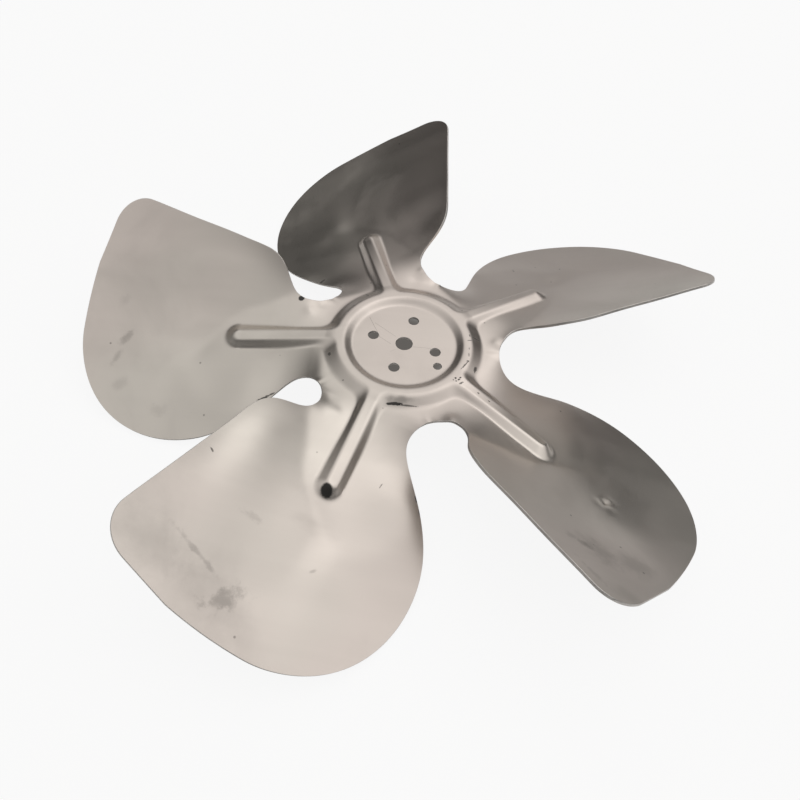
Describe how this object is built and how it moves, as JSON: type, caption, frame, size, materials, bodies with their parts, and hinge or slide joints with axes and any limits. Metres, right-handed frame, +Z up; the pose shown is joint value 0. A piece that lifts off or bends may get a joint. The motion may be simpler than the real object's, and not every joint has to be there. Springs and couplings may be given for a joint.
{
  "type": "axial fan impeller",
  "caption": "One-piece pressed sheet axial fan impeller with cambered blades, embossed hub ring and stiffening ribs.",
  "frame": {"origin": "on the rotor axis, at the top face of the hub disc", "axes": "+Z up the rotor axis, out of the face that the ribs stand up from; -X along the rib of one blade"},
  "size_m": [0.2473, 0.2485, 0.046],
  "materials": {
    "aluminium": "mill finish, bare sheet"
  },
  "bodies": {
    "root": {"impeller": "aluminium"}
  },
  "joints": []
}
